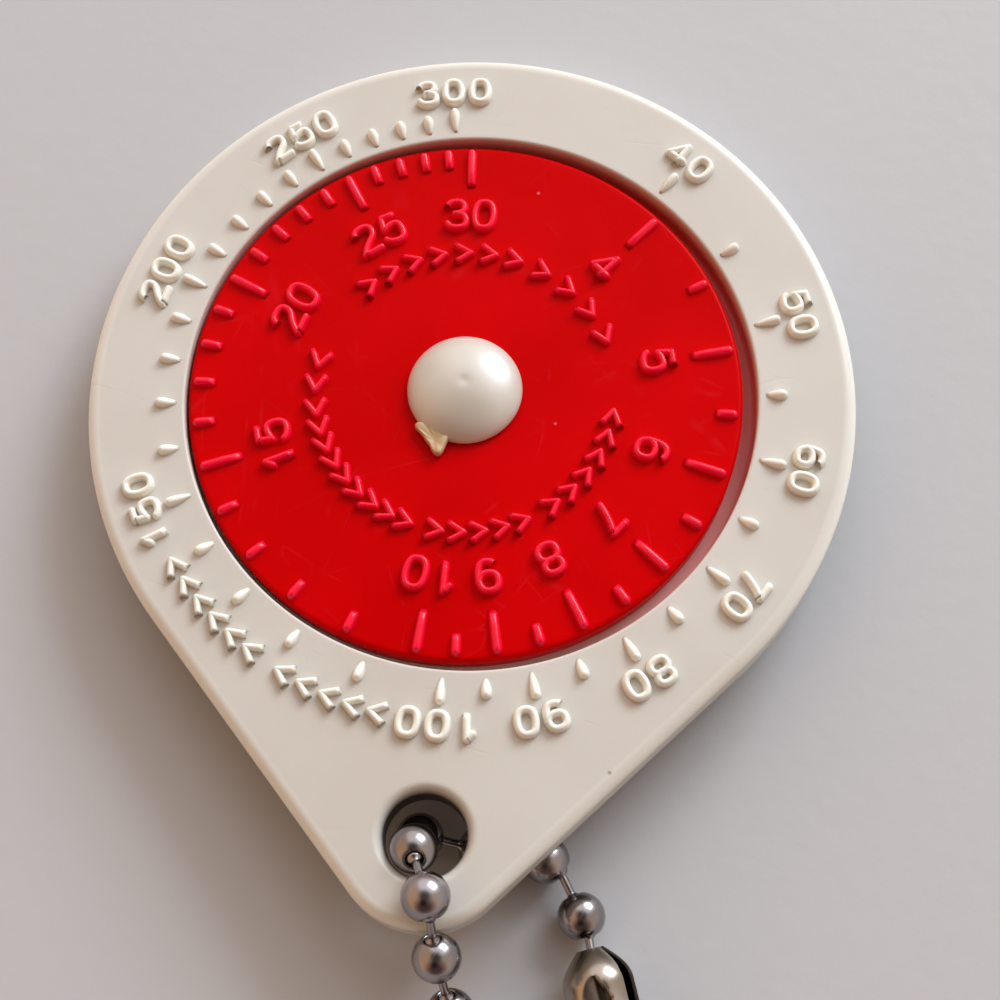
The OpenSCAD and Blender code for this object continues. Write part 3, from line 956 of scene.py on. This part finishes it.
def buildRowTree():
    inputs = {
        "Count": 5,
        "Ring Radius": 17.6,
        "Height": 2.6,
        "First Turn": 0.0,
        "Last Turn": 1.0,
        "Own Turn": 0.0,
    }
    tree, given, out = newGrowTree("markRow", inputs)
    index = addNode(tree, "GeometryNodeInputIndex").outputs[0]
    share = calc(tree, "DIVIDE", index, calc(tree, "SUBTRACT", given["Count"], 1.0))
    sweep = calc(tree, "SUBTRACT", given["Last Turn"], given["First Turn"])
    turn = calc(tree, "MULTIPLY_ADD", share, sweep, given["First Turn"])
    return endTree(tree, given, out, placeOnRing(tree, given, turn, given["Own Turn"]))


rowTree = buildRowTree()
chevron = helperObject("chevron", chevronShape(chevronLook))


def growRows(look, place, material):
    meshes = []
    for radius, first, last, count, own in look["rows"]:
        values = {
            "Count": count,
            "Ring Radius": radius,
            "Height": look["z"],
            "First Turn": math.radians(first),
            "Last Turn": math.radians(last),
            "Own Turn": math.radians(own),
            "Shape": chevron,
            "Material": material,
        }
        meshes.append(grow(rowTree, values))
    return finishMarks(joined(meshes), look, place)


addScale("miles", milesScale, bodyPlace, onBody)
addPiece("bodyChevrons", growRows(bodyRows, bodyPlace, ivoryPlastic), *onBody)
print("miles scale ready")

# Dial
dialShape = {
    "radius": 14.47,
    "round": 0.26,
    "bore": 1.55,
    "turn": 4.6,
    "grooveInner": 6.3,
    "grooveOuter": 11.7,
    "grooveDepth": 0.3,
}
dialPlace = pivotPlace @ Matrix.Rotation(-math.radians(dialShape["turn"]), 4, "Z")


def buildDial(shape, z):
    top = z["dialTop"]
    low = z["dialLow"]
    radius = shape["radius"]
    rim = shape["round"]
    bore = shape["bore"]
    groove = low + shape["grooveDepth"]
    profile = [(bore, low + 0.05), (bore, top - 0.08), (bore + 0.08, top), (bore + 0.25, top)]
    profile += [(radius - rim - 0.15, top)]
    profile += arc((radius - rim, top - rim), rim, 90, 0, 7)
    profile += [(radius, top - rim - 0.1), (radius, low + 0.12)]
    profile += arc((radius - 0.06, low + 0.06), 0.06, 0, -90, 3)
    profile += [(shape["grooveOuter"] + 0.05, low), (shape["grooveOuter"], low + 0.05)]
    profile += [(shape["grooveOuter"], groove), (shape["grooveInner"], groove)]
    profile += [(shape["grooveInner"], low + 0.05), (shape["grooveInner"] - 0.05, low)]
    profile += [(bore + 0.05, low), (bore, low + 0.05)]
    shell = emptyShape()
    addLathe(shell, profile, 256)
    return meshOf("dialDisc", shell, dialPlace, sharp=35)


addPiece("dialDisc", buildDial(dialShape, heights), *onDial, replaces=["dial"])
addScale("gallons", gallonsScale, dialPlace, onDial)
addPiece("dialChevrons", growRows(dialRows, dialPlace, redPlastic), *onDial)

# The answer scale is raised in the ring in the dial's underside, and read through the body's window
answerScale = {
    "z": 0.0,
    "crestHighlight": 0.85,
    "numbers": (10, 15, 20, 25, 30, 40, 50, 60, 80),
    "times": 1,
    "atTop": 10,
    "ring": 8.4,
    "width": 0.85,
    "height": 1.2,
    "stroke": 0.3,
    "pitch": 1.42,
    "flatten": 0.7,
    "runs": [(10.0, 1.0, 21, 5.0), (32.0, 2.0, 10, 10.0), (55.0, 5.0, 9, 10.0)],
    "long": (10.1, 1.2, 0.3, 0.2, 0.1, 1.0),
    "short": (10.1, 1.2, 0.22, 0.2, 0.1, 1.0),
}
underPlace = (
    dialPlace
    @ Matrix.Translation((0, 0, heights["dialLow"] + dialShape["grooveDepth"]))
    @ Matrix.Rotation(math.pi, 4, "X")
    @ Matrix.Scale(answerScale["flatten"], 4, (0, 0, 1))
)
addScale("answer", answerScale, underPlace, onDial)
print("dial ready")

# Rivet
rivetShape = {
    "head": 3.0,
    "rim": 0.35,
    "dome": 1.1,
    "domePower": 1.2,
    "edge": 0.12,
    "shank": 1.5,
    "tail": 2.1,
    "tailLow": 0.35,
    "tailHigh": 0.65,
    "gap": 0.05,
    "dimple": 0.42,
    "dimpleDepth": 0.05,
    "gate": [
        (-2.74, -1.86), (-2.52, -1.70), (-2.22, -1.72),
        (-1.98, -1.90), (-1.80, -2.06), (-1.52, -2.12),
        (-1.24, -2.16), (-0.98, -2.46), (-0.92, -2.72),
        (-1.10, -2.98), (-1.26, -3.34), (-1.44, -3.62),
        (-1.72, -3.60), (-1.90, -3.30), (-1.98, -2.98),
        (-2.20, -2.74), (-2.32, -2.40), (-2.60, -2.14),
    ],
    "gateTop": (-1.62, -2.86),
    "gateHeight": 0.5,
    "gateDip": 0.8,
    "ragged": 0.12,
}


def buildRivet(shape, z):
    low = z["dialTop"] + shape["gap"]
    lip = low + shape["edge"]
    rise = shape["rim"] + shape["dome"] - shape["edge"]
    head = shape["head"]
    shank = shape["shank"]
    tail = shape["tail"]
    tailLow = shape["tailLow"]
    tailHigh = shape["tailHigh"]
    profile = [(0.0, lip + rise - shape["dimpleDepth"])]
    for turn in np.linspace(0.03, math.pi / 2, 30):
        r = head * math.sin(turn)
        dip = shape["dimpleDepth"] * math.exp(-((r / shape["dimple"] * 1.6) ** 2))
        profile.append((r, lip + rise * math.cos(turn) ** shape["domePower"] - dip))
    profile += [(head - 0.03, low + 0.03), (head - 0.1, low)]
    profile += [(shank + 0.08, low), (shank, low - 0.08), (shank, tailHigh)]
    profile += [(tail - 0.04, tailHigh), (tail, tailHigh - 0.04), (tail, tailLow + 0.08)]
    profile += [(tail - 0.1, tailLow), (0.9, tailLow), (0.6, tailLow + 0.1), (0.0, tailLow + 0.12)]
    shell = emptyShape()
    addLathe(shell, profile, 128)
    mesh = meshOf("rivetBody", shell, sharp=40)
    # the foot of the head is darkened: painted shade where it meets the dial
    addMask(mesh, "dirtAndShade", [clamped(1 - (v.co.z - low) / shape["edge"]) ** 2 for v in mesh.vertices])
    mesh.transform(pivotPlace)
    return mesh


# The torn nub that the mould's gate left at the edge of the head
def buildGate(shape, z):
    low = z["dialTop"] + shape["gap"]
    middle = sum((Vector(p) for p in shape["gate"]), Vector((0, 0))) / len(shape["gate"])
    shell = emptyShape()
    rings = []
    # size and height of each level, as shares, on an uneven torn top
    for size, rise in [(0.95, 0.0), (1.0, 0.16), (1.0, 0.68), (0.93, 0.94), (0.78, 1.0)]:
        points = []
        for i, p in enumerate(shape["gate"]):
            q = middle + (Vector(p) - middle) * size
            torn = shape["gateHeight"] * (1 + shape["ragged"] * math.sin(i * 2.4))
            points.append((q.x, q.y, low + rise * torn))
        rings.append(addRing(shell, points))
    bridgeAll(shell, rings)
    dip = addRing(shell, [(*shape["gateTop"], low + shape["gateHeight"] * shape["gateDip"])])
    top = rings[-1]
    shell["faces"] += [(a, b, dip[0]) for a, b in zip(top, top[1:] + top[:1])]
    fillFlat(shell, [rings[0]])
    mesh = meshOf("rivetGate", shell)
    hollow = Vector(shape["gateTop"])
    # darker towards the hollow of its torn top
    addMask(mesh, "dirtAndShade", [max(0.0, 1 - (v.co.xy - hollow).length / 0.8) for v in mesh.vertices])
    mesh.transform(pivotPlace)
    return mesh


onRivet = ("root", "white_plastic")
addPiece("rivetBody", buildRivet(rivetShape, heights), *onRivet, whitePlastic, replaces=["rivet"])
gate = addPiece("rivetGate", buildGate(rivetShape, heights), *onRivet, gatePlastic)
softGate = gate.modifiers.new("soften", "SUBSURF")
softGate.levels = 2
softGate.render_levels = 2
print("rivet ready")

# Chain
beadShape = {
    "radius": 1.19,
    "wall": 0.15,
    "mouth": 0.54,
    "throat": 0.43,
    "lip": 0.05,
    "seat": 0.763,
    "wire": 0.21,
    "ball": 0.445,
    "nominalPin": 1.714,
    "darkReach": 0.885,
}


# A hollow bead with a rolled mouth at each end of its Z
def buildBeadShape(look):
    radius = look["radius"]
    inner = radius - look["wall"]
    mouth = look["mouth"]
    throat = look["throat"]
    start = math.asin((mouth + look["lip"]) / radius)
    innerStart = math.asin(throat / inner)
    edge = radius * math.cos(start)
    outerTurns = np.linspace(start, math.pi / 2, 11)
    innerTurns = np.linspace(math.pi / 2, innerStart, 6)[:-1]
    half = [(throat, inner * math.cos(innerStart))]
    half += [(throat + 0.005, edge - 0.06), (throat + 0.03, edge - 0.005)]
    half += [(mouth - 0.03, edge + 0.018), (mouth + 0.02, edge + 0.01)]
    half += [(radius * math.sin(t), radius * math.cos(t)) for t in outerTurns]
    inside = [(inner * math.sin(t), inner * math.cos(t)) for t in innerTurns]
    profile = half + [(r, -h) for r, h in reversed(half[:-1])]
    profile += [(r, -h) for r, h in reversed(inside)] + inside[1:] + [half[0]]
    shell = emptyShape()
    addLathe(shell, profile, 36)
    return shell


# A wire with a ball at each end
def buildPinShape(look):
    half = look["nominalPin"] / 2
    ball = look["ball"]
    wire = look["wire"]
    profile = [(0.0, half + ball)]
    for t in np.linspace(0.35, math.pi - math.asin(wire / ball), 7):
        profile.append((ball * math.sin(t), half + ball * math.cos(t)))
    profile += [(wire, half - math.sqrt(ball**2 - wire**2) - 0.05)]
    profile += [(r, -h) for r, h in reversed(profile)]
    shell = emptyShape()
    addLathe(shell, profile, 20)
    return shell


# Places one shape on every point, its Z along the point's own direction
def buildLinkTree():
    tree, given, out = newGrowTree("chainLinks", {})

    def ownValue(name, kind):
        return addNode(tree, "GeometryNodeInputNamedAttribute", {"Name": name}, data_type=kind).outputs[0]

    aim = {"Vector": ownValue("direction", "FLOAT_VECTOR")}
    rotation = addNode(tree, "FunctionNodeAlignRotationToVector", aim, axis="Z").outputs[0]
    sizes = {0: 1.0, 1: 1.0, 2: ownValue("stretch", "FLOAT")}
    scale = addNode(tree, "ShaderNodeCombineXYZ", sizes).outputs[0]
    points = addNode(tree, "GeometryNodeMeshToPoints", {0: given["Geometry"]}).outputs[0]
    return endTree(tree, given, out, {"Points": points, "Rotation": rotation, "Scale": scale})


def pointMesh(places, directions, stretches):
    mesh = bpy.data.meshes.new("points")
    mesh.from_pydata(places, [], [])
    mesh.attributes.new("direction", "FLOAT_VECTOR", "POINT")
    mesh.attributes["direction"].data.foreach_set("vector", [c for d in directions for c in d])
    mesh.attributes.new("stretch", "FLOAT", "POINT")
    mesh.attributes["stretch"].data.foreach_set("value", stretches)
    return mesh


def middleOf(node):
    low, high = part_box(node)
    return (low + high) * 500  # metres to millimetres, halved


beadCount = sum(name.startswith("bead_") for name in frame["nodes"])
beadPlaces = {i: middleOf(f"bead_{i}") for i in range(1, beadCount + 1)}


def beadAxis(i):
    if i in (1, beadCount):
        return (beadPlaces[beadCount] - beadPlaces[1]).normalized()
    before = (beadPlaces[i] - beadPlaces[i - 1]).normalized()
    after = (beadPlaces[i + 1] - beadPlaces[i]).normalized()
    return (before + after).normalized()


def pinEnd(i, towards):
    axis = beadAxis(i)
    if axis.dot(beadPlaces[towards] - beadPlaces[i]) < 0:
        axis = -axis
    return beadPlaces[i] + axis * beadShape["seat"]


linkTree = buildLinkTree()
beadForm = helperObject("beadForm", buildBeadShape(beadShape), fixNormals=True)
pinForm = helperObject("pinForm", buildPinShape(beadShape), fixNormals=True)
# a bead is darker where its mouths and inside lie nearer to its middle than its shell
darkReach = beadShape["radius"] * beadShape["darkReach"]
darkened = [clamped((darkReach - v.co.length) / 0.06) for v in beadForm.data.vertices]
addMask(beadForm.data, "dirtAndShade", darkened)
toMetres = Matrix.Scale(0.001, 4)


def growLinks(kind, body, nodes, form, places, directions, stretches):
    base = pointMesh(places, directions, stretches)
    mesh = grow(linkTree, {"Shape": form, "Material": nickelBeads}, base)
    mesh.transform(toMetres)
    replaced = [f"{kind}_{i}" for i in nodes]
    addPiece(f"{kind}s_{body}", mesh, body, "nickel_beads", nickelBeads, replaces=replaced)


for body, nodes in frame["record"]["behaviour"]["bodies"].items():
    beads = sorted(int(n.split("_")[1]) for n in nodes if n.startswith("bead_"))
    pins = sorted(int(n.split("_")[1]) for n in nodes if n.startswith("pin_"))
    if beads:
        places = [beadPlaces[i] for i in beads]
        growLinks("bead", body, beads, beadForm, places, [beadAxis(i) for i in beads], [1.0] * len(beads))
    if pins:
        ends = [(pinEnd(i, i + 1), pinEnd(i + 1, i)) for i in pins]
        places = [(a + b) / 2 for a, b in ends]
        stretches = [(b - a).length / beadShape["nominalPin"] for a, b in ends]
        growLinks("pin", body, pins, pinForm, places, [(b - a).normalized() for a, b in ends], stretches)
print("chain ready")

# Connector
connectorShape = {
    "radius": 1.75,
    "wall": 0.17,
    "beadToEnd": 1.6,
    "shoulder": 1.7,
    "endRadius": 0.66,
    "slotTurn": 24.0,
    "slotWidth": 1.4,
    "slotTaper": 1.3,
    "notchTurn": 97.0,
    "notchStart": 1.3,
    "notchEnd": 4.0,
    "notchDepth": 0.34,
    "notchFacet": 0.95,
    "notchStep": 0.14,
    "notchMouth": 0.55,
    "stations": 110,
    "around": 170,
}


# A wall swept round all but the slot, drawn in over a domed shoulder at each end. A dart is
# pressed into the top at each end: a slanting facet on its left and a steep step on its right.
def buildConnector(shape):
    first = beadPlaces[1]
    last = beadPlaces[beadCount]
    direction = (last - first).normalized()
    length = (last - first).length + 2 * shape["beadToEnd"]
    start = first - direction * shape["beadToEnd"]
    start.z = cadBox[0].z * 1000 + shape["radius"]
    up = Vector((0, 0, 1))
    right = up.cross(direction)

    # how deep a place lies in the dart, and how much painted shade it gets. The dart is widest halfway along.
    def dartAt(s, angle, radius):
        near = min(s, length - s)
        if not shape["notchStart"] < near < shape["notchEnd"]:
            return 0.0, 0.0
        along = (near - shape["notchStart"]) / (shape["notchEnd"] - shape["notchStart"])
        spread = math.sin(along * math.pi)
        mouth = shape["notchMouth"] * spread
        arm = (angle - math.radians(shape["notchTurn"])) * radius
        if arm > 0:
            share = max(0.0, 1 - arm / (shape["notchFacet"] * (0.35 + 0.65 * spread)))
            return share * spread**0.5, share**4
        past = max(0.0, -arm - mouth)
        share = max(0.0, 1 - past / shape["notchStep"])
        return share * spread**0.5, share

    def radiusAt(s, inset, angle):
        near = min(s, length - s)
        share = min(1.0, near / shape["shoulder"])
        radius = shape["endRadius"] + (shape["radius"] - shape["endRadius"]) * math.sin(share * math.pi / 2)
        radius -= shape["notchDepth"] * dartAt(s, angle, radius)[0]
        return max(radius - inset, shape["endRadius"] - inset * 0.4)

    def slotHalf(s):
        near = min(s, length - s)
        share = min(1.0, near / shape["slotTaper"])
        return (0.3 + 0.7 * share) * shape["slotWidth"] / 2

    shell = emptyShape()
    rings = []
    paintedShade = []
    for share in np.linspace(0, 1, shape["stations"] + 1):
        # stations stand closer at the ends and in the middle
        s = length * (share - 0.045 * math.sin(4 * math.pi * share))
        loop = []
        edge = math.asin(min(0.95, slotHalf(s) / max(radiusAt(s, 0.0, 0.0), 0.7)))
        turns = np.linspace(edge, 2 * math.pi - edge, shape["around"])
        for inset, ordered in ((0.0, turns), (shape["wall"], turns[::-1])):
            for t in ordered:
                angle = math.radians(shape["slotTurn"]) + t
                radius = radiusAt(s, inset, angle)
                p = start + direction * s + (right * math.cos(angle) + up * math.sin(angle)) * radius
                loop.append(tuple(p))
                # the inside of the wall and the darts get painted shade
                paintedShade.append(1.0 if inset else dartAt(s, angle, radius)[1])
        rings.append(addRing(shell, loop))
    bridgeAll(shell, rings)
    around = shape["around"]
    for ring in (rings[0], rings[-1]):
        for k in range(around - 1):
            inside = 2 * around - 1 - k
            shell["faces"].append((ring[k], ring[k + 1], ring[inside - 1], ring[inside]))
    mesh = meshOf("connectorSleeve", shell, fixNormals=False, sharp=32)
    addMask(mesh, "dirtAndShade", paintedShade)
    mesh.transform(toMetres)
    return mesh


sleeve = buildConnector(connectorShape)
addPiece("connectorSleeve", sleeve, "connector_links", "nickel_sleeve", nickelSleeve, replaces=["connector"])
print("connector ready")

for helper in helpers:
    bpy.data.objects.remove(helper)

# Table top
floorLook = {
    "size": 1.6,
    "light": (0.565, 0.560, 0.572, 1),
    "dark": (0.530, 0.522, 0.530, 1),
    "shader": {"Specular IOR Level": 0.25, "Roughness": 0.55},
    "clouds": 22.0,
    "grain": 900.0,
    "bump": 0.25,
    "bumpDistance": 0.00008,
}


def buildFloor(look):
    material, tree, shader, place = newMaterial("paleTable", look["shader"])
    clouds = noise(tree, place, look["clouds"], 3.0)["Fac"]
    grain = noise(tree, place, look["grain"], 3.0)["Fac"]
    colour = mixColour(tree, clouds, look["dark"], look["light"])
    tree.links.new(colour, shader.inputs["Base Color"])
    addBump(tree, shader, look["bump"], look["bumpDistance"], grain)
    half = look["size"]
    corners = [(x * half, y * half, cadBox[0].z) for x, y in ((-1, -1), (1, -1), (1, 1), (-1, 1))]
    mesh = bpy.data.meshes.new("floor")
    mesh.from_pydata(corners, [], [(0, 1, 2, 3)])
    mesh.materials.append(material)
    floor = bpy.data.objects.new("floor", mesh)
    bpy.context.scene.collection.objects.link(floor)


buildFloor(floorLook)

# Light
lampLook = {
    "keyPlace": (0.308, 0.368, 0.278),
    "keySize": 0.29,
    "keyPower": 2.68,
    "keyColour": (0.76, 0.88, 0.98),
    "aim": (0.0, -0.01, 0.0),
    "warmSide": (1.05, 0.62, 0.32, 1),
    # parts of the room, each with its direction, where it starts and is full, and its colour: the
    # window's side, the window's wide glow, the ceiling, who stands before the table, twice, and a
    # plain pale band beyond the table's edge
    "patches": [
        ((0.62, 0.62, 0.25), -0.75, 0.75, (0.74, 0.65, 0.58, 1)),
        ((0.28, 0.77, 0.57), 0.69, 0.84, (1.50, 1.46, 1.48, 1)),
        ((0.0, 0.0, 1.0), 0.84, 0.97, (0.10, 0.085, 0.08, 1)),
        ((-0.05, -0.80, 0.60), 0.60, 0.93, (0.12, 0.075, 0.065, 1)),
        ((-0.15, -0.52, 0.84), 0.955, 0.975, (0.02, 0.012, 0.01, 1)),
        ((0.0, 0.0, -1.0), -0.16, -0.08, (0.60, 0.59, 0.585, 1)),
    ],
}


def buildLights(look):
    key = bpy.data.lights.new("windowLight", "AREA")
    key.shape = "RECTANGLE"
    key.size = look["keySize"]
    key.size_y = look["keySize"] * 0.8
    key.energy = look["keyPower"]
    key.color = look["keyColour"]
    lamp = bpy.data.objects.new("windowLight", key)
    bpy.context.scene.collection.objects.link(lamp)
    lamp.location = look["keyPlace"]
    aim = Vector(look["aim"]) - lamp.location
    lamp.rotation_euler = aim.to_track_quat("-Z", "Y").to_euler()

    world = bpy.data.worlds.new("softRoom")
    bpy.context.scene.world = world
    world.use_nodes = True
    tree = world.node_tree
    sky = addNode(tree, "ShaderNodeTexCoord").outputs["Generated"]

    colour = look["warmSide"]
    for direction, start, end, shade in look["patches"]:
        facing = addNode(tree, "ShaderNodeVectorMath", {0: sky, 1: direction}, operation="DOT_PRODUCT")
        colour = mixColour(tree, reach(tree, facing.outputs["Value"], start, end), colour, shade)
    tree.links.new(colour, tree.nodes["Background"].inputs["Color"])


buildLights(lampLook)
bpy.context.scene.view_settings.view_transform = "Standard"

# Camera
cameraLook = {
    "lens": 63.527,
    "place": (1.107, -35.58, 87.29),
    "turns": (0.334714, -0.000788, -0.060743),
}


def buildCamera(look):
    data = bpy.data.cameras.new("camera")
    data.lens = look["lens"]
    data.sensor_width = 36.0
    data.clip_start = 0.005
    camera = bpy.data.objects.new("camera", data)
    bpy.context.scene.collection.objects.link(camera)
    x, y, z = look["turns"]
    turn = Matrix.Rotation(x, 4, "X") @ Matrix.Rotation(y, 4, "Y") @ Matrix.Rotation(z, 4, "Z")
    place = Matrix.Translation(Vector(look["place"]) * 0.001) @ turn
    camera.matrix_world = Matrix.Rotation(-lean, 4, "X") @ place
    bpy.context.scene.camera = camera


buildCamera(cameraLook)
